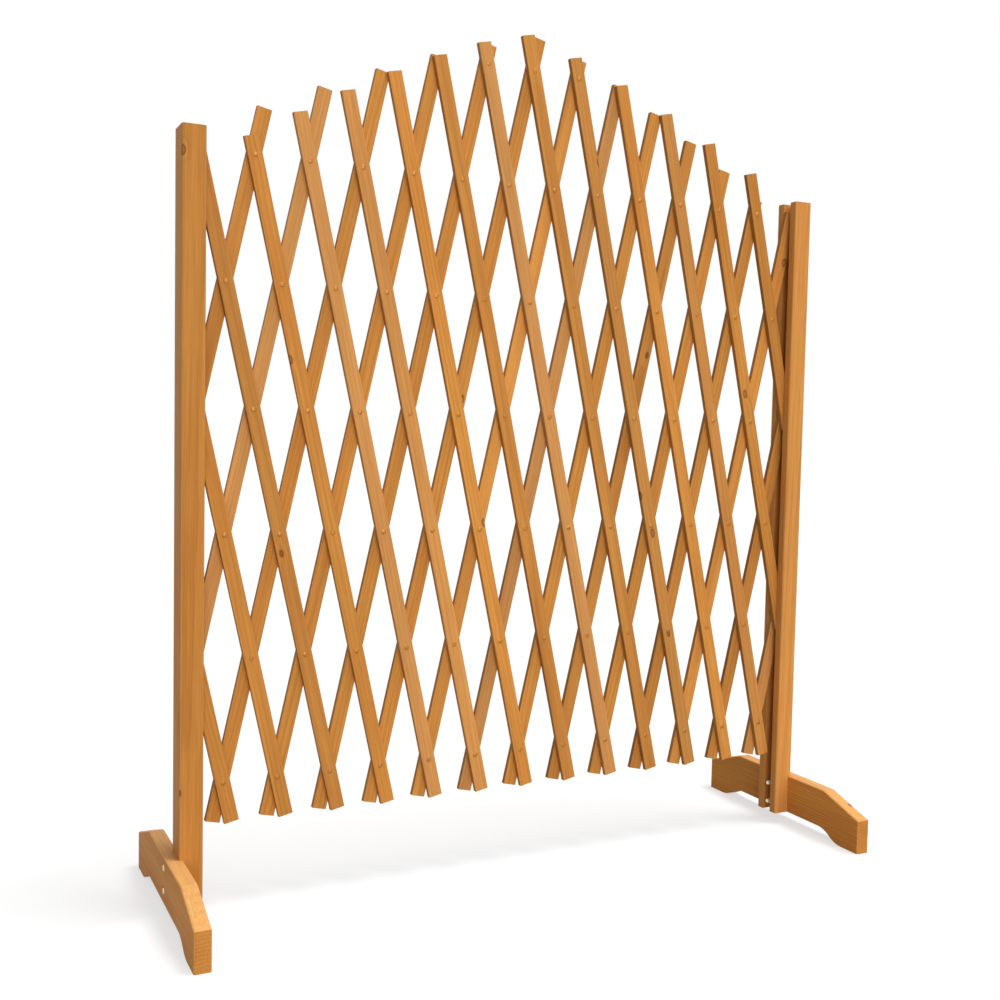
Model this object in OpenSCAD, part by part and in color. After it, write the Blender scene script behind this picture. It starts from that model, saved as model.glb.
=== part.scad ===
// Free-standing expanding trellis panel, in millimetres, +Z up.
// X runs along the panel, -Y is the front, and the origin is on the floor in the middle of the panel.
// Two grooved posts stand on arched feet and hold a scissor lattice of thin slats,
// riveted at every crossing, so the panel opens and closes like a concertina.

/* [Posts] */
// Length of a post
post_len = 875; // [800:5:950]
// Height of the posts' lower ends above the floor
post_lift = 15; // [8:1:18]
// Width of a post along the panel
post_w = 27; // [26:0.5:36]
// Depth of a post from front to back
post_d = 40; // [34:1:50]
// Wall left behind the groove, on a post's outer side
web_t = 5.5; // [4:0.5:8]
// Rounding of a post's long edges
post_round = 3; // [1:0.5:4]

/* [Lattice] */
// Distance from pivot to pivot along a slat
hole_pitch = 147.5; // [140:0.5:152]
// Width of a slat
slat_w = 17.5; // [14:0.5:20]
// Thickness of a slat
slat_t = 7; // [5:0.5:8]
// Rounding of a slat's long edges
slat_round = 1; // [0.4:0.1:2]
// Lean of the slats from upright, as the panel stands open
lean = 12.6; // [5:0.2:27]
// Air between the front layer and the back layer of slats
layer_gap = 0.2; // [0.1:0.1:0.6]
// Height of the lowest row of rivets
first_row = 148; // [140:1:160]
// Wood below the lowest rivet, along a slat
tail = 48; // [20:1:60]
// Wood beyond a slat's last pivot inside a post
end_wood = 9; // [7:0.5:10]
// Length of the two middle slats above the lowest row of rivets
peak_len = 929; // [905:1:960]
// How much shorter the outermost free slats are than the middle pair
arch_drop = 170; // [60:5:180]

/* [Groove fit] */
// Air between the slats and each side wall of a groove
groove_air = 0.5; // [0.3:0.1:1]
// Distance from a post's outer face to the pivots in its groove
pivot_in = 20; // [20:0.5:21]

/* [Feet] */
// Length of a foot, from front to back
foot_len = 330; // [260:5:420]
// Thickness of a foot
foot_t = 19; // [17:0.5:25]
// How deep a post is let into its foot
let_in = 5; // [2:0.5:7]
// Height of a foot at its middle
foot_mid_h = 68; // [62:1:85]
// Height of a foot at its ends
foot_end_h = 45; // [35:1:55]
// Length of the slope from each end up to the level top
foot_slope = 70; // [45:1:90]
// Rounding of a foot's upper edges and of its upright ones
foot_round = 2.5; // [1:0.5:5]
// Length of the pad under each end of a foot
pad_len = 32; // [25:1:45]
// Length of the curve from a pad up to the level underside
arch_run = 48; // [34:1:60]

/* [Rivets and pins] */
// Diameter of a rivet's or a pivot pin's shank
rivet_d = 4; // [3:0.5:5]
// Diameter of a rivet's head
rivet_head_d = 6; // [5.5:0.5:7]
// Height of a rivet's head
rivet_head_h = 0.8; // [0.5:0.1:1.2]
// Radial play of a shank in its hole
hole_play = 0.05; // [0.03:0.01:0.09]
// Diameter of a pivot pin's head, on the back of a post
pin_head_d = 9; // [7:0.5:12]
// Height of a pivot pin's head
pin_head_h = 1.6; // [1:0.1:3]
// Wood in front of a pivot pin's blind end
pin_cover = 5; // [3:0.5:8]

/* [Foot bolts] */
// Diameter of a foot bolt
bolt_d = 6; // [5:0.5:6]
// Diameter of a foot bolt's head
bolt_head_d = 9.5; // [8.5:0.5:11]
// Height of a foot bolt's domed head
bolt_head_h = 3; // [2:0.2:4]
// Width of the hexagonal socket across its corners
socket_w = 4.2; // [3:0.2:5]
// Depth of the socket
socket_depth = 2; // [1:0.2:2.4]
// Depth of the round recess that a bolt's head sits in
recess_depth = 2; // [1:0.2:4]
// Air round a bolt's head in its recess
recess_play = 1.2; // [0.3:0.1:1.5]
// Length of a foot bolt's shank
bolt_len = 39; // [36:0.5:40]
// Height of the lower bolt above the floor
bolt_low = 28; // [26:1:32]
// Distance between the two bolts of a foot
bolt_step = 27; // [22:1:28]
// Width of a nut across its flats
nut_w = 10; // [8:0.5:10]
// Thickness of a nut
nut_t = 5; // [4:0.2:6]
// Diameter of a washer
washer_d = 12; // [10:0.5:13]
// Thickness of a washer
washer_t = 1.2; // [0.8:0.1:2]

/* [Hidden] */

// The lattice has 13 spaces between the posts' pivot lines, and 15 slats in each layer.
// Columns are counted from the left post's pivot line, rows from the lowest rivets.
spaces = 13;
slats = 15;
// The slat of each layer that reaches the peak of the arch
peak_slat = 10;
// Rows in which the first three slats of a layer end inside a post
last_post_row = 5;
// How the arch of free slat tips falls off from the peak to the outermost ones, this many slats away
arch_power = 1.25;
arch_slats = 6;

column_w = 2 * hole_pitch * sin(lean);
row_h = hole_pitch * cos(lean);
span = spaces * column_w;
outer_x = span / 2 + pivot_in;
foot_x = outer_x - let_in;
groove_w = 2 * slat_t + layer_gap + 2 * groove_air;
groove_depth = post_w - web_t;
hole_r = rivet_d / 2 + hole_play;
grip = 2 * slat_t + layer_gap;
pivot_row_z = first_row + row_h;
least_wood = end_wood / 2;
past = 1;

$fn = 48;
arch_fn = 96;

// Distance along a slat, from the lowest row of rivets, to a row
function along(row) = row * hole_pitch;
// First row of front slat i: the ones at the right edge start inside the right post
function low_row(i) = max(0, 2 * i - 2 * spaces - 1);
// Whether front slat i ends inside the left post, and in which row
function ends_in_post(i) = 2 * i - 1 <= last_post_row;
// Length of front slat i's free tip above the lowest row of rivets
function tip(i) = peak_len - arch_drop * pow(abs(i - peak_slat) / arch_slats, arch_power);
// Where front slat i starts and ends, measured along it from the lowest row of rivets
function slat_low(i) = along(low_row(i)) - (low_row(i) == 0 ? tail : end_wood);
function slat_high(i) = ends_in_post(i) ? along(2 * i - 1) + end_wood : tip(i);
// Whether front slat i reaches a row with enough wood past the hole, and is crossed there
function has_row(i, row) = along(row) > slat_low(i) + least_wood && along(row) < slat_high(i) - least_wood;
function crossing(i, row) = i + 2 - row;
function crosses(i, row) = crossing(i, row) >= 1 && crossing(i, row) <= slats
  && has_row(i, row) && has_row(slats + 1 - crossing(i, row), row);
// Rows in which front slat i has a pivot
function rows(i) = [for (row = [0:last_post_row + 1]) if (crosses(i, row)) row];
// The fixed pivots of the posts are in row 1, where a pin takes the rivet's place
pin_row = 1;
function in_post(i, row) = i - row / 2 - 0.5 <= 0 || i - row / 2 - 0.5 >= spaces;
function riveted(i) = [for (row = rows(i)) if (!(row == pin_row && in_post(i, row))) row];

// A bar's cross-section with its four corners rounded, centred in x and standing on y = 0
module rounded_bar(w, h, r) {
  translate([-w / 2 + r, 0]) square([w - 2 * r, h]);
  translate([-w / 2, r]) square([w, h - 2 * r]);
  for (x = [-w / 2 + r, w / 2 - r], y = [r, h - r]) translate([x, y]) circle(r);
}

// One slat standing upright on its own pivot line, with its holes
module slat(i) {
  difference() {
    translate([0, 0, slat_low(i)])
      linear_extrude(slat_high(i) - slat_low(i)) rounded_bar(slat_w, slat_t, slat_round);
    for (row = rows(i))
      translate([0, -past, along(row)]) rotate([-90, 0, 0]) cylinder(h = slat_t + 2 * past, r = hole_r);
  }
}

// Puts a front slat, or what belongs to it, in its place in the open lattice
module at_front_slat(i) {
  translate([(i - 0.5) * column_w - span / 2, 0, first_row]) rotate([0, -lean, 0]) children();
}

// A slat of the front layer leans to the left as it rises
module front_slat(i) {
  color("peru") at_front_slat(i) translate([0, -layer_gap / 2 - slat_t, 0]) slat(i);
}

// A slat of the back layer is the mirror image of a front one, behind it
module back_slat(j) {
  color("sandybrown") mirror([1, 0, 0])
    at_front_slat(slats + 1 - j) translate([0, layer_gap / 2, 0]) slat(slats + 1 - j);
}

// A rivet with a low domed head in front and a flat one clenched behind.
// Inside a groove it has no heads, because the slats' ends fill the groove.
module rivet(headed) {
  rotate([-90, 0, 0]) {
    translate([0, 0, -grip / 2]) cylinder(h = grip, r = rivet_d / 2);
    if (headed) {
      translate([0, 0, grip / 2]) cylinder(h = rivet_head_h, r = rivet_head_d / 2);
      translate([0, 0, -grip / 2]) mirror([0, 0, 1]) dome(rivet_head_d, rivet_head_h);
    }
  }
}

// A low domed head is the slice of a ball that has the head's width and height
module dome(d, h) {
  ball_r = (pow(d / 2, 2) + pow(h, 2)) / (2 * h);
  intersection() {
    cylinder(h = h + past, r = d / 2);
    translate([0, 0, h - ball_r]) sphere(ball_r);
  }
}

// All rivets that ride on one front slat
module rivets(i) {
  color("darkgoldenrod") at_front_slat(i)
    for (row = riveted(i)) translate([0, 0, along(row)]) rivet(!in_post(i, row));
}

// The right post, with its groove open towards the panel; the left one is its mirror image
module post() {
  difference() {
    translate([outer_x - post_w / 2, -post_d / 2, post_lift])
      linear_extrude(post_len) rounded_bar(post_w, post_d, post_round);
    translate([outer_x - post_w - past, -groove_w / 2, post_lift - past])
      cube([groove_depth + past, groove_w, post_len + 2 * past]);
    pin_hole();
    for (z = bolt_heights()) translate([outer_x - post_w, 0, z]) bolt_hole(post_w + past);
  }
}

function bolt_heights() = [bolt_low, bolt_low + bolt_step];

module bolt_hole(h) {
  rotate([0, 90, 0]) cylinder(h = h, r = bolt_d / 2 + hole_play);
}

// The pivot pin enters from the back and stops short of the front
module pin_hole() {
  translate([span / 2, post_d / 2 + past, pivot_row_z]) rotate([90, 0, 0])
    cylinder(h = post_d - pin_cover + past, r = hole_r);
}

module pivot_pin() {
  translate([span / 2, post_d / 2, pivot_row_z]) {
    rotate([90, 0, 0]) cylinder(h = post_d - pin_cover - past, r = rivet_d / 2);
    rotate([-90, 0, 0]) dome(pin_head_d, pin_head_h);
  }
}

// Side view of a foot: y from front to back, z up
module foot_outline() {
  half = foot_len / 2;
  rise = foot_mid_h - foot_end_h;
  difference() {
    polygon([
      [-half, 0], [half, 0], [half, foot_end_h],
      [half - foot_slope, foot_mid_h], [foot_slope - half, foot_mid_h], [-half, foot_end_h]
    ]);
    arch_cut(half - pad_len);
  }
}

// The arch under a foot is level in the middle. At each side it comes down to the pad
// in two equal arcs, hollow above and round below.
module arch_cut(reach) {
  level = reach - arch_run;
  bend = reach - arch_run / 2;
  arc_r = (pow(arch_run, 2) + pow(post_lift, 2)) / (4 * post_lift);
  translate([-level - past, -past]) square([2 * (level + past), post_lift + past]);
  for (side = [0, 1]) mirror([side, 0]) {
    intersection() {
      translate([level, post_lift - arc_r]) circle(arc_r, $fn = arch_fn);
      translate([level, -past]) square([arch_run / 2, post_lift + past]);
    }
    difference() {
      translate([bend - past, -past]) square([arch_run / 2 + past, post_lift / 2 + past]);
      translate([reach, arc_r]) circle(arc_r, $fn = arch_fn);
    }
  }
}

// A long bar with rounded edges, as thick as a foot, whose top passes through a point of the side view
module eased_bar(y, z, slope) {
  translate([foot_x + foot_t / 2, y, z]) rotate([90 + slope, 0, 0])
    translate([0, -foot_len, -foot_len])
      linear_extrude(2 * foot_len) rounded_bar(foot_t, foot_len, foot_round);
}

// The rounded edges of a foot: one bar runs along the level top, one along each slope,
// and one stands upright
module eased_bars() {
  slope = atan((foot_mid_h - foot_end_h) / foot_slope);
  intersection() {
    eased_bar(0, foot_mid_h, 0);
    eased_bar(-foot_len / 2, foot_end_h, slope);
    eased_bar(foot_len / 2, foot_end_h, -slope);
    translate([foot_x + foot_t / 2, -foot_len / 2, -past])
      linear_extrude(foot_mid_h + 2 * past) rounded_bar(foot_t, foot_len, foot_round);
  }
}

// The sawn and eased foot, before it is drilled
module foot_blank() {
  intersection() {
    translate([foot_x, 0, 0]) rotate([90, 0, 90]) linear_extrude(foot_t) foot_outline();
    eased_bars();
  }
}

// The right foot, with a housing across its inner face that its post is let into
module foot() {
  difference() {
    foot_blank();
    translate([foot_x - past, -post_d / 2, -past]) cube([let_in + past, post_d, foot_mid_h + 2 * past]);
    for (z = bolt_heights()) {
      translate([foot_x - past, 0, z]) bolt_hole(foot_t + 2 * past);
      translate([foot_x + foot_t - recess_depth, 0, z]) rotate([0, 90, 0])
        cylinder(h = recess_depth + past, r = bolt_head_d / 2 + recess_play);
    }
  }
}

// A bolt through the foot and the post's web, with its tip at the mouth of the groove
module foot_bolts() {
  seat_x = foot_x + foot_t - recess_depth;
  for (z = bolt_heights()) translate([seat_x, 0, z]) {
    rotate([0, -90, 0]) cylinder(h = bolt_len, r = bolt_d / 2);
    rotate([0, 90, 0]) bolt_head();
  }
}

// A low domed head with a hexagonal socket
module bolt_head() {
  difference() {
    dome(bolt_head_d, bolt_head_h);
    translate([0, 0, bolt_head_h - socket_depth]) cylinder(h = socket_depth + past, d = socket_w, $fn = 6);
  }
}

module foot_washers() {
  for (z = bolt_heights()) translate([outer_x - web_t - washer_t, 0, z]) rotate([0, 90, 0])
    difference() {
      cylinder(h = washer_t, r = washer_d / 2);
      translate([0, 0, -past]) cylinder(h = washer_t + 2 * past, r = bolt_d / 2 + hole_play);
    }
}

module foot_nuts() {
  for (z = bolt_heights()) translate([outer_x - web_t - washer_t - nut_t, 0, z]) rotate([0, 90, 0])
    difference() {
      rotate(30) cylinder(h = nut_t, d = nut_w / cos(30), $fn = 6);
      translate([0, 0, -past]) cylinder(h = nut_t + 2 * past, r = bolt_d / 2 + hole_play);
    }
}

module left() {
  mirror([1, 0, 0]) children();
}

module left_post() { color("chocolate") left() post(); }
module right_post() { color("chocolate") post(); }
module left_foot() { color("burlywood") left() foot(); }
module right_foot() { color("burlywood") foot(); }
module left_foot_bolts() { color("silver") left() foot_bolts(); }
module right_foot_bolts() { color("silver") foot_bolts(); }
module left_foot_nuts() { color("gray") left() foot_nuts(); }
module right_foot_nuts() { color("gray") foot_nuts(); }
module left_foot_washers() { color("lightgray") left() foot_washers(); }
module right_foot_washers() { color("lightgray") foot_washers(); }
module left_pivot_pin() { color("silver") left() pivot_pin(); }
module right_pivot_pin() { color("silver") pivot_pin(); }

left_post();
right_post();
left_foot();
right_foot();
left_foot_bolts();
right_foot_bolts();
left_foot_nuts();
right_foot_nuts();
left_foot_washers();
right_foot_washers();
left_pivot_pin();
right_pivot_pin();
front_slat(1);  // front_slat_01
front_slat(2);  // front_slat_02
front_slat(3);  // front_slat_03
front_slat(4);  // front_slat_04
front_slat(5);  // front_slat_05
front_slat(6);  // front_slat_06
front_slat(7);  // front_slat_07
front_slat(8);  // front_slat_08
front_slat(9);  // front_slat_09
front_slat(10);  // front_slat_10
front_slat(11);  // front_slat_11
front_slat(12);  // front_slat_12
front_slat(13);  // front_slat_13
front_slat(14);  // front_slat_14
front_slat(15);  // front_slat_15
back_slat(1);  // back_slat_01
back_slat(2);  // back_slat_02
back_slat(3);  // back_slat_03
back_slat(4);  // back_slat_04
back_slat(5);  // back_slat_05
back_slat(6);  // back_slat_06
back_slat(7);  // back_slat_07
back_slat(8);  // back_slat_08
back_slat(9);  // back_slat_09
back_slat(10);  // back_slat_10
back_slat(11);  // back_slat_11
back_slat(12);  // back_slat_12
back_slat(13);  // back_slat_13
back_slat(14);  // back_slat_14
back_slat(15);  // back_slat_15
rivets(1);  // rivets_01
rivets(2);  // rivets_02
rivets(3);  // rivets_03
rivets(4);  // rivets_04
rivets(5);  // rivets_05
rivets(6);  // rivets_06
rivets(7);  // rivets_07
rivets(8);  // rivets_08
rivets(9);  // rivets_09
rivets(10);  // rivets_10
rivets(11);  // rivets_11
rivets(12);  // rivets_12
rivets(13);  // rivets_13
rivets(14);  // rivets_14
rivets(15);  // rivets_15
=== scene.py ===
import math

import bpy
import numpy as np
from mathutils import Matrix, Vector


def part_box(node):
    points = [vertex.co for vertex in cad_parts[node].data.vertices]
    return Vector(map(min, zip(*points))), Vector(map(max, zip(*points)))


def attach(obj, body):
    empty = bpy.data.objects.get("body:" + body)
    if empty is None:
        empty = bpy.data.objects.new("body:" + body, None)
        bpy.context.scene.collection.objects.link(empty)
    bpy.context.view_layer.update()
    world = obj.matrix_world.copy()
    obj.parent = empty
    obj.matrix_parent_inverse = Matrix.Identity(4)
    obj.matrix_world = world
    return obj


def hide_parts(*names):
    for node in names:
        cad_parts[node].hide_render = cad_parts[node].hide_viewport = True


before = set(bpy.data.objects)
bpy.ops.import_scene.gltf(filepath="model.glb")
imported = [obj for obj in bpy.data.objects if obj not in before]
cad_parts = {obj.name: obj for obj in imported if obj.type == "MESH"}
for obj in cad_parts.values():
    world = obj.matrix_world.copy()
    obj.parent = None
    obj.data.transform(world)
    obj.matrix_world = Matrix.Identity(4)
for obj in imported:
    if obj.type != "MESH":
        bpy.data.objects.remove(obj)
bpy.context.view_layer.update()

MM = 0.001
SLATS = 15
SIDES = ("left", "right")

# Camera: it stands to the left of the panel, at about half its height, and looks down a little.
# Its focal length is given in pixels of the picture.
CAMERA_PLACE = (-0.7077, -1.3657, 0.5666)
CAMERA_TURN_DEG = (86.466, -1.186, -26.213)
CAMERA_FOCAL = 1196.8
IMAGE_WIDTH = 1000
SENSOR_WIDTH = 36.0

# Light: a soft lamp high above and a little to the right, very wide ones from the front and, weaker,
# from behind, and an even surround. Each lamp is the way to it, its spread in degrees and its power.
LAMPS = {
    "top_lamp": ((0.30, -0.15, 1.0), 22.0, 2.35),
    "front_lamp": ((-0.08, -1.0, 0.25), 60.0, 2.25),
    "back_lamp": ((0.2, 1.0, 0.35), 60.0, 0.40),
}
SURROUND_POWER = 0.27
FLOOR_WIDTH = 40.0
FLOOR_COLOUR = "#A3A3A3"
FLOOR_GLOW = 0.62
WHITE = "#FFFFFF"

# Rivets: a low oval head in front, and a tube end rolled over behind. Points of a rivet node that are
# further apart in height than the gap belong to different rivets. A head's profile is swung on the axis,
# by a radius of nearly nothing.
RIVET_SIZES = {
    "Shank Width": 4.0 * MM,
    "Grip": 14.2 * MM,
    "Head Width": 6.0 * MM,
    "Head Height": 0.8 * MM,
    "Roll Width": 1.5 * MM,
}
RIVET_GAP = 20 * MM
DOME_POINTS = 7
BEAD_POINTS = 8
ON_AXIS = 0.001 * MM

# Foot bolts, their nuts and their washers. A seat is measured outwards from the post's outer face.
# A profile's rings have a width and a place along the bolt, from its seat, in millimetres.
BOLT_HEIGHTS = (28 * MM, 55 * MM)
ROUND_POINTS = 36
SWING_POINTS = ROUND_POINTS // 2
HEAD_SEAT = 12.0 * MM
NUT_SEAT = -11.7 * MM
WASHER_SEAT = -6.7 * MM
BOLT_PROFILE = [
    ("round", 3.8, -39.0), ("round", 5.2, -38.3), ("round", 5.2, -15.4), ("round", 6.0, -14.8),
    ("round", 6.0, 0.0), ("round", 9.2, 0.0), ("round", 9.5, 0.25), ("round", 8.8, 0.62),
    ("round", 7.6, 1.37), ("round", 6.2, 1.98), ("round", 5.0, 2.36),
    ("hexagon", 3.8, 2.55), ("hexagon", 3.6, 2.4), ("hexagon", 3.6, 1.0),
]
NUT_PROFILE = [
    ("round", 9.4, 0.0), ("hexagon", 10.0, 0.6), ("hexagon", 10.0, 4.4), ("round", 9.4, 5.0),
    ("round", 6.7, 5.0), ("round", 6.1, 4.7), ("round", 6.1, 0.3), ("round", 6.7, 0.0),
]
WASHER_PROFILE = [
    ("round", 11.7, 0.0), ("round", 12.0, 0.15), ("round", 12.0, 1.05), ("round", 11.7, 1.2),
    ("round", 6.3, 1.2), ("round", 6.1, 1.1), ("round", 6.1, 0.1), ("round", 6.3, 0.0),
]
THREAD_SIZES = {
    "Pitch": 1.0 * MM,
    "Turns": 22.5,
    "Core Width": 5.2 * MM,
    "Ridge": 0.4 * MM,
    "Start": -38.2 * MM,
}
RIDGE_CORNERS = 3
QUARTER_TURN = math.radians(90)

# Kinds of node that the trees below use again and again
MATHS = "ShaderNodeMath"
VECTOR_MATHS = "ShaderNodeVectorMath"
MAP_RANGE = "ShaderNodeMapRange"
MIX = "ShaderNodeMix"


def linear(hex_colour):
    """A colour written as sRGB hex, as linear red, green, blue and alpha."""
    channels = [int(hex_colour[i:i + 2], 16) / 255 for i in (1, 3, 5)]
    return [c / 12.92 if c <= 0.04045 else ((c + 0.055) / 1.055) ** 2.4 for c in channels] + [1.0]


def add(tree, kind, *feeds, named=None, stops=(), **settings):
    """Adds a node and returns its first output.

    feeds are the values of its inputs in their order, or the outputs linked to them; None leaves
    one as it is. named gives inputs by name instead. stops are a ramp's (place, grey level) pairs.
    """
    node = tree.nodes.new(kind)
    for name, value in settings.items():
        setattr(node, name, value)
    if stops:
        elements = node.color_ramp.elements
        while len(elements) < len(stops):
            elements.new(0.5)
        for element, (place, level) in zip(elements, stops):
            element.position = place
            element.color = (level, level, level, 1.0)
    shown = [socket for socket in node.inputs if socket.enabled]
    pairs = list(zip(shown, feeds))
    for name, value in (named or {}).items():
        pairs.append((next(socket for socket in shown if socket.name == name), value))
    for socket, value in pairs:
        for one in value if isinstance(value, list) and socket.is_multi_input else [value]:
            if isinstance(one, bpy.types.NodeSocket):
                tree.links.new(one, socket)
            elif one is not None:
                socket.default_value = one
    return next(socket for socket in node.outputs if socket.enabled)


def new_material(name):
    """An empty material with its output node."""
    material = bpy.data.materials.new(name)
    material.use_nodes = True
    material.node_tree.nodes.clear()
    output = material.node_tree.nodes.new("ShaderNodeOutputMaterial")
    return material, material.node_tree, output


def paint(node_names, material):
    """Gives CAD nodes their finish."""
    for name in node_names:
        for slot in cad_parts[name].material_slots:
            slot.material = material


class Lay:
    """How a row of like boards lies: which way the grain runs, and where each board's middle is."""

    def __init__(self, first, second):
        middle, self.grain = board_line(first)
        along_panel = Vector((1, 0, 0))
        self.across = (along_panel - along_panel.dot(self.grain) * self.grain).normalized()
        self.depth = self.grain.cross(self.across)
        self.first = middle.dot(self.across)
        self.pitch = board_line(second)[0].dot(self.across) - self.first
        self.deep = middle.dot(self.depth)


def board_line(name):
    """The middle of a straight board and the way its length runs, up or to the back, from its mesh."""
    points = np.array([v.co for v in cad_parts[name].data.vertices])
    middle = (points.min(0) + points.max(0)) / 2
    direction = np.linalg.svd(points - middle, full_matrices=False)[2][0]
    return Vector(middle), Vector(direction if direction[2] + direction[1] > 0 else -direction)


# Softwood, planed, stained honey brown and rubbed down to a satin: paler early wood and thin darker
# late wood in long lines, tone that drifts along a board, some boards paler than others, a few small
# knots, thirsty darker end grain, and long edges where the stain has rubbed thin, paler also from a
# painted highlight. Faces that look up carry a painted sheen of light from above, and the slats'
# narrow sides are darkened by painted shade.
# The stain soaks in and leaves hardly any gloss.
EARLY_WOOD = "#CF8D42"
LATE_WOOD = "#A8682B"
RED_STAIN = "#BB7231"
PALE_BOARD = "#D69E66"
# Rubbed edges, paler also from a painted highlight
RUBBED_EDGE_AND_HIGHLIGHT = "#DBA361"
# Painted sheen of light from above, on faces that look up
PAINTED_TOP_SHEEN = "#CFA36A"
KNOT = "#6B3815"

# Streaks: their width across the grain, their length along it, and how far their detail goes.
# Pores and fibres are drawn coarser than real ones, so that they show.
PORES = (0.5 * MM, 26 * MM, 1.0)
FIBRE = (1.9 * MM, 110 * MM, 3.0)
DRIFT = (40 * MM, 260 * MM, 2.0)
WANDER = (70 * MM, 320 * MM, 1.0)

# Noise hardly leaves this range. Each board takes its noise from a place up to this many metres away.
USUAL_NOISE = (0.3, 0.7)
BOARDS_APART = 7.0

# Growth rings: where their pith lies from the board's middle, and how dark they are, from early to late
RING_WIDTH = 4.2 * MM
RING_WANDER = 8 * MM
RING_SHADES = ((0.0, 0.15), (0.35, 0.0), (0.84, 0.75), (0.95, 1.0), (1.0, 0.15))
PITH_ACROSS = (-70 * MM, 70 * MM)
PITH_DEEP = (22 * MM, 65 * MM)
PITH_TILT = (-0.03, 0.03)

# Knots: how dark they are from the middle to the rim, and how far round them and how much the rings bend
KNOT_SPACING = 62 * MM
KNOT_RADIUS = 4.0 * MM
KNOT_SHADES = ((0.0, 0.40), (0.45, 0.45), (0.70, 0.85), (1.0, 0.0))
KNOT_SQUEEZE = 0.55
BEND_REACH = 2.8 * KNOT_RADIUS
BEND = 0.8 * RING_WIDTH

# Shares of each colour. Four numbers are the noise, chance or upward tilt of a face from which and to
# which the share grows, and its least and most. Faces count as edges or as square to the grain by how
# far they look along the board's axes.
LATE_SHARE = 0.42
RED_SHARE = (0.4, 0.7, 0.0, 0.45)
PALE_SHARE = (0.45, 1.0, 0.0, 0.45)
# The rubbed edges' share, which carries their painted highlight too
RUBBED_AND_HIGHLIGHT_SHARE = (0.4, 0.65, 0.15, 0.5)
# The painted sheen grows with how far a face looks up
PAINTED_TOP_SHEEN_SHARE = (0.3, 0.8, 0.0, 0.55)
EDGE_FACES = (0.995, 0.80)
SQUARE_FACES = (0.75, 0.95)

# Tones: what a pattern, a board or a face multiplies the colour by. Four numbers are the pattern's lowest
# and highest value, and the tone that goes with each.
PORE_TONE = (*USUAL_NOISE, 0.93, 1.07)
FIBRE_TONE = (*USUAL_NOISE, 0.90, 1.10)
WANDER_TONE = (0.35, 0.65, 0.94, 1.06)
BOARD_TONE = (0.0, 1.0, 0.86, 1.12)
END_TONE = (0.0, 1.0, 1.0, 0.86)
# Painted shade: the slats' narrow sides are darkened by this much
NARROW_SIDE_SHADE = 0.72

# Polish and relief: fibres are rougher or smoother, ends are rougher, and late wood stands proud
FIBRE_ROUGHNESS = (*USUAL_NOISE, 0.64, 0.52)
END_ROUGHNESS = 0.2
LATE_RELIEF = 0.35
RELIEF_DEPTH = 0.25 * MM
RELIEF_STRENGTH = 0.22
WOOD_IOR = 1.5
STAIN_GLOSS = 0.08


def along(tree, vector, axis):
    """How far a vector reaches along an axis."""
    reach = add(tree, VECTOR_MATHS, vector, tuple(axis), operation="DOT_PRODUCT")
    return reach.node.outputs["Value"]


def board_places(tree, lay, seed):
    """Where a point lies on its board, in metres from the board's middle line, and the board's chances.

    The place is given as numbers across, deep into and up the board, and as a point that is moved
    far off for each board, so that no two have the same grain. The chances are three random numbers.
    """
    point = add(tree, "ShaderNodeTexCoord").node.outputs["Object"]
    sideways = along(tree, point, lay.across)
    from_first = add(tree, MATHS, sideways, lay.first, operation="SUBTRACT")
    steps = add(tree, MATHS, from_first, lay.pitch, operation="DIVIDE")
    number = add(tree, MATHS, steps, operation="ROUND")
    seeded = add(tree, MATHS, number, seed, operation="ADD")
    chance = add(tree, "ShaderNodeTexWhiteNoise", seeded, noise_dimensions="1D").node.outputs["Color"]
    chances = add(tree, "ShaderNodeSeparateColor", chance).node.outputs

    middle = add(tree, MATHS, number, lay.pitch, lay.first, operation="MULTIPLY_ADD")
    across = add(tree, MATHS, sideways, middle, operation="SUBTRACT")
    deep = add(tree, MATHS, along(tree, point, lay.depth), lay.deep, operation="SUBTRACT")
    up = along(tree, point, lay.grain)
    place = add(tree, "ShaderNodeCombineXYZ", across, deep, up)
    apart = add(tree, VECTOR_MATHS, chance, (BOARDS_APART,) * 3, operation="MULTIPLY")
    place = add(tree, VECTOR_MATHS, place, apart, operation="ADD")
    return across, deep, up, place, chances


def streaks(tree, place, width, length, detail):
    """Soft streaks that run along the boards."""
    stretched = add(tree, VECTOR_MATHS, place, (1 / width, 1 / width, 1 / length), operation="MULTIPLY")
    return add(tree, "ShaderNodeTexNoise", named={"Vector": stretched, "Scale": 1.0, "Detail": detail})


def knots(tree, place):
    """How dark the knots are, and how far they push the rings aside, in metres.

    Knots are points scattered through the wood, longer along the grain.
    """
    squeezed = add(tree, VECTOR_MATHS, place, (1.0, 1.0, KNOT_SQUEEZE), operation="MULTIPLY")
    away = add(tree, "ShaderNodeTexVoronoi", named={"Vector": squeezed, "Scale": 1 / KNOT_SPACING})
    away = add(tree, MATHS, away, KNOT_SPACING, operation="MULTIPLY")
    radii = add(tree, MATHS, away, KNOT_RADIUS, operation="DIVIDE")
    knot = add(tree, "ShaderNodeValToRGB", radii, stops=KNOT_SHADES)
    bend = add(tree, MAP_RANGE, away, BEND_REACH, 0.0, 0.0, BEND, interpolation_type="SMOOTHSTEP")
    return knot, bend


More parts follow.
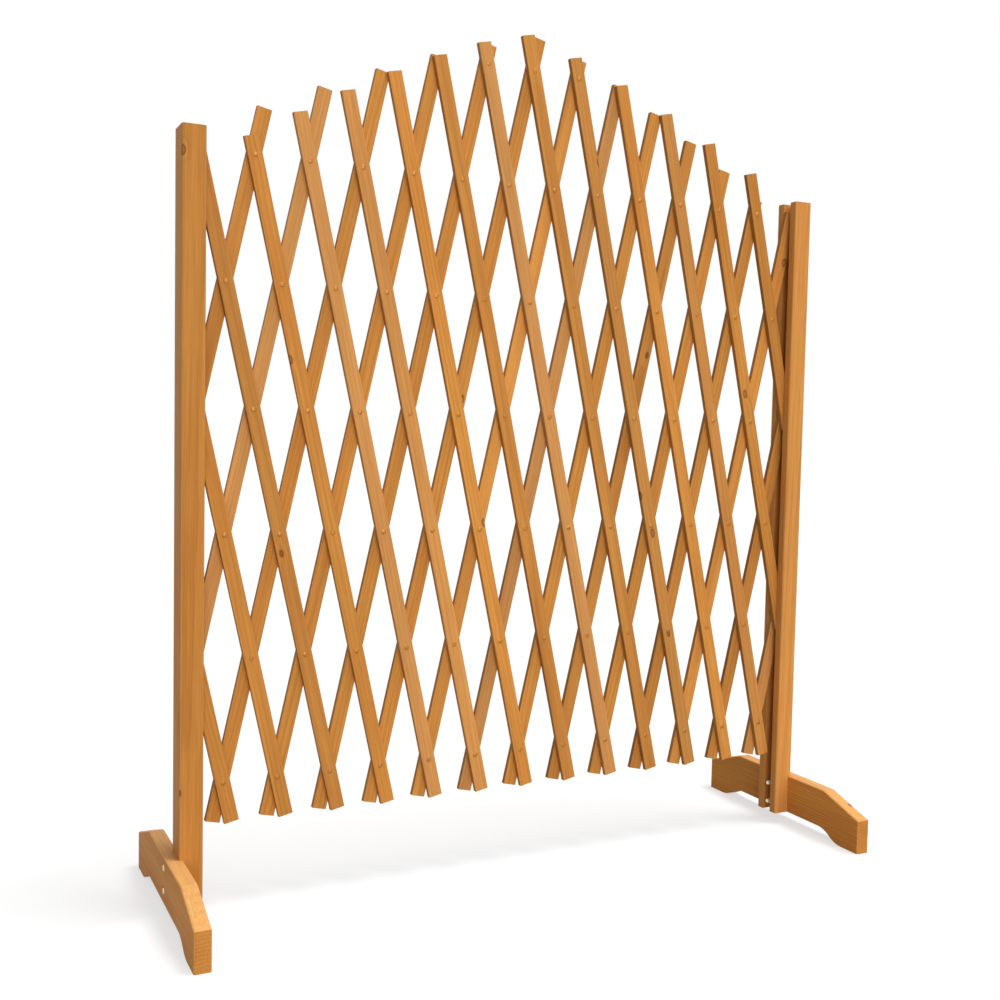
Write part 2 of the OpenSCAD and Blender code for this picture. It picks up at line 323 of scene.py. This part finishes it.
def late_wood(tree, across, deep, up, push, chances):
    """How dark the growth rings are, round a pith that is outside the board and not quite along it."""
    pith_across = add(tree, MAP_RANGE, chances[0], 0.0, 1.0, *PITH_ACROSS)
    pith_deep = add(tree, MAP_RANGE, chances[1], 0.0, 1.0, *PITH_DEEP)
    tilt = add(tree, MAP_RANGE, chances[2], 0.0, 1.0, *PITH_TILT)
    pith_across = add(tree, MATHS, up, tilt, pith_across, operation="MULTIPLY_ADD")
    from_pith = add(tree, "ShaderNodeCombineXYZ",
                    add(tree, MATHS, across, pith_across, operation="SUBTRACT"),
                    add(tree, MATHS, deep, pith_deep, operation="SUBTRACT"))
    radius = add(tree, VECTOR_MATHS, from_pith, operation="LENGTH").node.outputs["Value"]
    radius = add(tree, MATHS, radius, push, operation="ADD")
    rings = add(tree, MATHS, radius, RING_WIDTH, operation="DIVIDE")
    in_ring = add(tree, MATHS, rings, operation="FRACT")
    return add(tree, "ShaderNodeValToRGB", in_ring, stops=RING_SHADES)


def stained_softwood(name, lay, seed, painted_side_shade):
    """Stained softwood whose grain follows the boards of one lay, with painted shade on its narrow sides.
    """
    material, tree, output = new_material(name)
    across, deep, up, place, chances = board_places(tree, lay, seed)
    pores, fibre, drift, wander = [streaks(tree, place, *size) for size in (PORES, FIBRE, DRIFT, WANDER)]
    knot, bend = knots(tree, place)
    push = add(tree, MATHS, wander, RING_WANDER, bend, operation="MULTIPLY_ADD")
    late = late_wood(tree, across, deep, up, push, chances)

    # Which faces are ends, narrow sides, rounded edges or look up
    normal = add(tree, "ShaderNodeTexCoord").node.outputs["Normal"]
    lengthways, sideways, inwards = [
        add(tree, MATHS, along(tree, normal, axis), operation="ABSOLUTE")
        for axis in (lay.grain, lay.across, lay.depth)]
    end = add(tree, MAP_RANGE, lengthways, *SQUARE_FACES, 0.0, 1.0, interpolation_type="SMOOTHSTEP")
    narrow = add(tree, MAP_RANGE, sideways, *SQUARE_FACES, 0.0, 1.0, interpolation_type="SMOOTHSTEP")
    flat = add(tree, MATHS, sideways, inwards, operation="MAXIMUM")
    edge = add(tree, MAP_RANGE, flat, *EDGE_FACES, 0.0, 1.0, interpolation_type="SMOOTHSTEP")
    not_end = add(tree, MATHS, 1.0, end, operation="SUBTRACT")
    edge = add(tree, MATHS, edge, not_end, operation="MULTIPLY")
    upward = along(tree, normal, (0.0, 0.0, 1.0))

    # Each colour covers a share of what lies under it
    # How much the edges are rubbed and carry painted highlight, drifting along a board
    worn_and_highlit = add(tree, MAP_RANGE, drift, *RUBBED_AND_HIGHLIGHT_SHARE)
    layers = [
        (add(tree, MATHS, late, LATE_SHARE, operation="MULTIPLY"), LATE_WOOD),
        (add(tree, MAP_RANGE, drift, *RED_SHARE), RED_STAIN),
        (add(tree, MAP_RANGE, chances[0], *PALE_SHARE, interpolation_type="SMOOTHSTEP"), PALE_BOARD),
        # Rubbed edges with a painted highlight
        (add(tree, MATHS, edge, worn_and_highlit, operation="MULTIPLY"), RUBBED_EDGE_AND_HIGHLIGHT),
        # Painted sheen of light from above, on faces that look up
        (add(tree, MAP_RANGE, upward, *PAINTED_TOP_SHEEN_SHARE, interpolation_type="SMOOTHSTEP"), PAINTED_TOP_SHEEN),
    ]
    colour = linear(EARLY_WOOD)
    for share, stain in layers:
        colour = add(tree, MIX, share, colour, linear(stain), data_type="RGBA")

    tones = [
        (pores, PORE_TONE), (fibre, FIBRE_TONE), (chances[1], BOARD_TONE), (wander, WANDER_TONE),
        # Narrow sides darkened by painted shade
        (end, END_TONE), (narrow, (0.0, 1.0, 1.0, painted_side_shade)),
    ]
    for pattern, change in tones:
        tone = add(tree, MAP_RANGE, pattern, *change)
        colour = add(tree, MIX, 1.0, colour, tone, data_type="RGBA", blend_type="MULTIPLY")
    colour = add(tree, MIX, knot, colour, linear(KNOT), data_type="RGBA")

    rough = add(tree, MAP_RANGE, fibre, *FIBRE_ROUGHNESS)
    rough = add(tree, MATHS, end, END_ROUGHNESS, rough, operation="MULTIPLY_ADD")
    relief = add(tree, MATHS, late, LATE_RELIEF, fibre, operation="MULTIPLY_ADD")
    bump = add(tree, "ShaderNodeBump", named={
        "Height": relief, "Strength": RELIEF_STRENGTH, "Distance": RELIEF_DEPTH})
    shader = add(tree, "ShaderNodeBsdfPrincipled", named={
        "Base Color": colour, "Roughness": rough, "Normal": bump,
        "IOR": WOOD_IOR, "Specular IOR Level": STAIN_GLOSS})
    tree.links.new(shader, output.inputs["Surface"])
    return material


CLOUD_DETAIL = 3.0


def cloudy_metal(name, dark, pale, cloud_size, smooth, dull):
    """Bare metal whose colour and polish vary in small soft clouds."""
    material, tree, output = new_material(name)
    place = add(tree, "ShaderNodeTexCoord").node.outputs["Object"]
    cloud = add(tree, "ShaderNodeTexNoise", named={
        "Vector": place, "Scale": 1 / cloud_size, "Detail": CLOUD_DETAIL})
    colour = add(tree, MIX, cloud, linear(dark), linear(pale), data_type="RGBA")
    rough = add(tree, MAP_RANGE, cloud, *USUAL_NOISE, dull, smooth)
    shader = add(tree, "ShaderNodeBsdfPrincipled", named={
        "Base Color": colour, "Roughness": rough, "Metallic": 1.0})
    tree.links.new(shader, output.inputs["Surface"])
    return material


# Each wood has its name, its boards, two neighbours among them, a seed, and the painted shade of its
# narrow sides
front_names = [f"front_slat_{i:02}" for i in range(1, SLATS + 1)]
back_names = [f"back_slat_{i:02}" for i in range(1, SLATS + 1)]
WOODS = [
    ("stained_softwood_front_slats", front_names, ("front_slat_06", "front_slat_07"), 3.0, NARROW_SIDE_SHADE),
    ("stained_softwood_back_slats", back_names, ("back_slat_06", "back_slat_07"), 41.0, NARROW_SIDE_SHADE),
    ("stained_softwood_posts", ["left_post", "right_post"], ("left_post", "right_post"), 80.0, 1.0),
    ("stained_softwood_feet", ["left_foot", "right_foot"], ("left_foot", "right_foot"), 95.0, 1.0),
]
for wood_name, board_names, neighbours, wood_seed, painted_side_shade in WOODS:
    paint(board_names, stained_softwood(wood_name, Lay(*neighbours), wood_seed, painted_side_shade))

# Zinc plated steel: bright, faintly yellow from its passivation, with a fine cloudy bloom.
steel = cloudy_metal("zinc_plated_steel", "#BDB196", "#EDE2C6", 3 * MM, smooth=0.24, dull=0.42)
# Brass left outdoors: dulled by stain and weather almost to the colour of the wood.
brass = cloudy_metal("weathered_brass", "#8F5C2A", "#BD8341", 4 * MM, smooth=0.45, dull=0.65)
paint([f"{side}_pivot_pin" for side in SIDES], steel)


def new_mesh(name, vertices, faces, material):
    """A mesh of one finish."""
    mesh = bpy.data.meshes.new(name)
    mesh.from_pydata(vertices, [], faces)
    mesh.materials.append(material)
    return mesh


def show(mesh):
    """An object of the scene that holds a mesh and has its name."""
    shown = bpy.data.objects.new(mesh.name, mesh)
    bpy.context.scene.collection.objects.link(shown)
    return shown


def fasten(piece, body, node_name):
    """Lets a finished piece ride on a body and stand for a CAD node."""
    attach(piece, body)
    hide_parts(node_name)


def new_form(name, sizes):
    """An empty geometry tree that takes a mesh and named sizes, with its inputs and its output."""
    tree = bpy.data.node_groups.new(name, "GeometryNodeTree")
    for way in ("INPUT", "OUTPUT"):
        tree.interface.new_socket("Geometry", in_out=way, socket_type="NodeSocketGeometry")
    for size_name in sizes:
        tree.interface.new_socket(size_name, in_out="INPUT", socket_type="NodeSocketFloat")
    tree.interface.new_socket("Material", in_out="INPUT", socket_type="NodeSocketMaterial")
    given = tree.nodes.new("NodeGroupInput").outputs
    return tree, given, tree.nodes.new("NodeGroupOutput").inputs["Geometry"]


def shape(piece, tree, values):
    """Runs a geometry tree on a piece and keeps the result as its plain mesh."""
    modifier = piece.modifiers.new(tree.name, "NODES")
    modifier.node_group = tree
    for item in tree.interface.items_tree:
        if item.in_out == "INPUT" and item.name in values:
            modifier[item.identifier] = values[item.name]
    depsgraph = bpy.context.evaluated_depsgraph_get()
    formed = bpy.data.meshes.new_from_object(piece.evaluated_get(depsgraph), depsgraph=depsgraph)
    piece.modifiers.clear()
    piece.data = formed


def turned(tree, profile, swing):
    """A profile curve swung round the z axis on a circle of the given radius."""
    circle = add(tree, "GeometryNodeCurvePrimitiveCircle", SWING_POINTS, swing)
    return add(tree, "GeometryNodeCurveToMesh", circle, profile)


def moved(tree, geometry, x, y, z):
    """Geometry moved by three numbers."""
    return add(tree, "GeometryNodeTransform", named={
        "Geometry": geometry, "Translation": add(tree, "ShaderNodeCombineXYZ", x, y, z)})


def rivet_row():
    """Rivets along y, one at each point of the mesh.

    Those whose point is marked headed have an oval head and a rolled rim.
    """
    tree, given, result = new_form("rivet_row", RIVET_SIZES)
    shank_r, half_grip, head_r, roll_r = [
        add(tree, MATHS, given[size], 0.5, operation="MULTIPLY")
        for size in ("Shank Width", "Grip", "Head Width", "Roll Width")]
    shank = add(tree, "GeometryNodeMeshCylinder", SWING_POINTS, 1, 1, shank_r, given["Grip"])

    # The head's profile rises from its rim and levels off over the middle. Its y points down when swung.
    crown = add(tree, MATHS, given["Head Height"], -1.0, operation="MULTIPLY")
    rim = add(tree, "ShaderNodeCombineXYZ", head_r, 0.0, 0.0)
    over_rim = add(tree, "ShaderNodeCombineXYZ", head_r, crown, 0.0)
    over_middle = add(tree, "ShaderNodeCombineXYZ", 0.0, crown, 0.0)
    dome = add(tree, "GeometryNodeCurveQuadraticBezier", DOME_POINTS, rim, over_rim, over_middle)
    head = moved(tree, turned(tree, dome, ON_AXIS), 0.0, 0.0, half_grip)
    head = add(tree, "GeometryNodeFlipFaces", head)

    # The rolled rim is a ring whose outer edge is as wide as the head
    ring_r = add(tree, MATHS, head_r, roll_r, operation="SUBTRACT")
    bead = add(tree, "GeometryNodeCurvePrimitiveCircle", BEAD_POINTS, roll_r)
    behind = add(tree, MATHS, half_grip, -1.0, operation="MULTIPLY")
    rolled = moved(tree, turned(tree, bead, ring_r), 0.0, 0.0, behind)

    headed = add(tree, "GeometryNodeInputNamedAttribute", "headed", data_type="BOOLEAN")
    ends = add(tree, "GeometryNodeJoinGeometry", [head, rolled])
    at_points = [
        add(tree, "GeometryNodeInstanceOnPoints", named={
            "Points": given["Geometry"], "Selection": selection, "Instance": form,
            "Rotation": (QUARTER_TURN, 0.0, 0.0)})
        for form, selection in ((shank, None), (ends, headed))]
    whole = add(tree, "GeometryNodeJoinGeometry", at_points)
    whole = add(tree, "GeometryNodeRealizeInstances", whole)
    whole = add(tree, "GeometryNodeSetShadeSmooth", whole)
    whole = add(tree, "GeometryNodeSetMaterial", named={
        "Geometry": whole, "Material": given["Material"]})
    tree.links.new(whole, result)
    return tree


def rivet_places(name):
    """The middles of a node's rivets along its slat, and whether each has heads."""
    points = np.array([v.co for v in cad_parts[name].data.vertices])
    points = points[np.argsort(points[:, 2])]
    breaks = np.flatnonzero(np.diff(points[:, 2]) > RIVET_GAP) + 1
    headless_length = RIVET_SIZES["Grip"] + RIVET_SIZES["Head Height"]
    places = []
    headed = []
    for rivet in np.split(points, breaks):
        lowest, highest = rivet.min(0), rivet.max(0)
        places.append(((lowest[0] + highest[0]) / 2, 0.0, (lowest[2] + highest[2]) / 2))
        headed.append(bool(highest[1] - lowest[1] > headless_length))
    return places, headed


rivet_tree = rivet_row()
for i in range(1, SLATS + 1):
    node_name = f"rivets_{i:02}"
    places, headed = rivet_places(node_name)
    row = show(new_mesh(f"rivet_row_{i:02}", places, [], brass))
    marks = row.data.attributes.new("headed", "BOOLEAN", "POINT")
    marks.data.foreach_set("value", headed)
    shape(row, rivet_tree, {**RIVET_SIZES, "Material": brass})
    fasten(row, f"front_slat_{i:02}", node_name)


def ring(kind, width, height):
    """Points round the z axis: a circle, or a hexagon measured across its flats. In millimetres."""
    points = []
    for k in range(ROUND_POINTS):
        angle = 2 * math.pi * k / ROUND_POINTS
        from_flat = (angle + math.pi / 6) % (math.pi / 3) - math.pi / 6
        radius = width / 2 / (math.cos(from_flat) if kind == "hexagon" else 1.0)
        points.append(Vector((radius * math.cos(angle), radius * math.sin(angle), height)) * MM)
    return points


def skin(profile, hollow):
    """Vertices and faces of a solid through rings.

    Its ends are capped, or joined to each other if it is hollow.
    """
    vertices = [point for step in profile for point in ring(*step)]
    count = len(profile)
    faces = []
    for step in range(count if hollow else count - 1):
        low, high = step * ROUND_POINTS, (step + 1) % count * ROUND_POINTS
        for k in range(ROUND_POINTS):
            after = (k + 1) % ROUND_POINTS
            faces.append((low + k, low + after, high + after, high + k))
    if not hollow:
        faces.append(tuple(reversed(range(ROUND_POINTS))))
        faces.append(tuple(range((count - 1) * ROUND_POINTS, count * ROUND_POINTS)))
    return vertices, faces


post_outer_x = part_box("right_post")[1][0]


def foot_fixings(side, part, profile, hollow, seat):
    """Both bolts, nuts or washers of one foot, along x from their seat."""
    outward = -1 if side == "left" else 1
    turn = Matrix.Rotation(QUARTER_TURN * outward, 3, "Y")
    solid_vertices, solid_faces = skin(profile, hollow)
    vertices = []
    faces = []
    for height in BOLT_HEIGHTS:
        start = len(vertices)
        place = Vector((outward * (post_outer_x + seat), 0, height))
        vertices += [turn @ point + place for point in solid_vertices]
        faces += [tuple(start + index for index in face) for face in solid_faces]
    return show(new_mesh(f"{side}_{part}_turned", vertices, faces, steel))


def bolt_thread():
    """Adds a thread's ridge, a spiral round the z axis, to the bolts that the mesh holds."""
    tree, given, result = new_form("bolt_thread", [*THREAD_SIZES, "Outward", "Seat", "Low", "Step"])
    length = add(tree, MATHS, given["Turns"], given["Pitch"], operation="MULTIPLY")
    core_r = add(tree, MATHS, given["Core Width"], 0.5, operation="MULTIPLY")
    spiral = add(tree, "GeometryNodeCurveSpiral", SWING_POINTS, given["Turns"], core_r, core_r, length)
    profile = add(tree, "GeometryNodeCurvePrimitiveCircle", RIDGE_CORNERS, given["Ridge"])
    ridge = add(tree, "GeometryNodeCurveToMesh", spiral, profile)
    ridge = moved(tree, ridge, 0.0, 0.0, given["Start"])
    angle = add(tree, MATHS, given["Outward"], QUARTER_TURN, operation="MULTIPLY")
    turn = add(tree, "ShaderNodeCombineXYZ", 0.0, angle, 0.0)
    ridge = add(tree, "GeometryNodeTransform", named={"Geometry": ridge, "Rotation": turn})
    seat = add(tree, MATHS, given["Outward"], given["Seat"], operation="MULTIPLY")
    low = moved(tree, ridge, seat, 0.0, given["Low"])
    high = moved(tree, low, 0.0, 0.0, given["Step"])
    whole = add(tree, "GeometryNodeJoinGeometry", [given["Geometry"], low, high])
    whole = add(tree, "GeometryNodeRealizeInstances", whole)
    whole = add(tree, "GeometryNodeSetMaterial", named={
        "Geometry": whole, "Material": given["Material"]})
    tree.links.new(whole, result)
    return tree


thread_tree = bolt_thread()
for side in SIDES:
    bolts = foot_fixings(side, "foot_bolts", BOLT_PROFILE, False, HEAD_SEAT)
    shape(bolts, thread_tree, {
        **THREAD_SIZES, "Outward": -1.0 if side == "left" else 1.0, "Low": BOLT_HEIGHTS[0],
        "Seat": post_outer_x + HEAD_SEAT, "Step": BOLT_HEIGHTS[1] - BOLT_HEIGHTS[0],
        "Material": steel})
    nuts = foot_fixings(side, "foot_nuts", NUT_PROFILE, True, NUT_SEAT)
    washers = foot_fixings(side, "foot_washers", WASHER_PROFILE, True, WASHER_SEAT)
    for part, piece in (("foot_bolts", bolts), ("foot_nuts", nuts), ("foot_washers", washers)):
        fasten(piece, f"{side}_post", f"{side}_{part}")


def seen_directly(tree):
    """1 for what the camera sees, also in metal or through glass, and 0 for light on the object."""
    rays = add(tree, "ShaderNodeLightPath").node.outputs
    seen = add(tree, MATHS, rays["Is Camera Ray"], rays["Is Glossy Ray"], operation="MAXIMUM")
    return add(tree, MATHS, seen, rays["Is Transmission Ray"], operation="MAXIMUM")


def build_floor():
    """A studio floor that keeps the panel's shadow and is otherwise white to the camera."""
    material, tree, output = new_material("white_studio_floor")
    shade = add(tree, "ShaderNodeBsdfDiffuse", linear(FLOOR_COLOUR))
    strength = add(tree, MATHS, seen_directly(tree), FLOOR_GLOW, operation="MULTIPLY")
    glow = add(tree, "ShaderNodeEmission", linear(WHITE), strength)
    tree.links.new(add(tree, "ShaderNodeAddShader", shade, glow), output.inputs["Surface"])
    half = FLOOR_WIDTH / 2
    corners = [(-half, -half, 0), (half, -half, 0), (half, half, 0), (-half, half, 0)]
    floor = show(new_mesh("floor", corners, [(0, 1, 2, 3)], material))


def build_light():
    """The lamps, and a surround that is white to the camera and dim to the object."""
    for name, (way, spread_deg, power) in LAMPS.items():
        lamp = bpy.data.lights.new(name, "SUN")
        lamp.energy = power
        lamp.angle = math.radians(spread_deg)
        lamp_object = bpy.data.objects.new(name, lamp)
        lamp_object.rotation_euler = Vector(way).to_track_quat("Z", "Y").to_euler()
        bpy.context.scene.collection.objects.link(lamp_object)
    world = bpy.data.worlds.new("studio")
    bpy.context.scene.world = world
    world.use_nodes = True
    tree = world.node_tree
    tree.nodes.clear()
    output = tree.nodes.new("ShaderNodeOutputWorld")
    strength = add(tree, MIX, seen_directly(tree), SURROUND_POWER, 1.0)
    background = add(tree, "ShaderNodeBackground", linear(WHITE), strength)
    tree.links.new(background, output.inputs["Surface"])


def build_camera():
    """The camera, where the photograph was taken from."""
    camera_data = bpy.data.cameras.new("camera")
    camera_data.sensor_width = SENSOR_WIDTH
    camera_data.lens = CAMERA_FOCAL / IMAGE_WIDTH * SENSOR_WIDTH
    camera = bpy.data.objects.new("camera", camera_data)
    camera.location = CAMERA_PLACE
    camera.rotation_euler = [math.radians(angle) for angle in CAMERA_TURN_DEG]
    bpy.context.scene.collection.objects.link(camera)
    bpy.context.scene.camera = camera


build_floor()
build_light()
build_camera()
bpy.context.scene.view_settings.view_transform = "Standard"
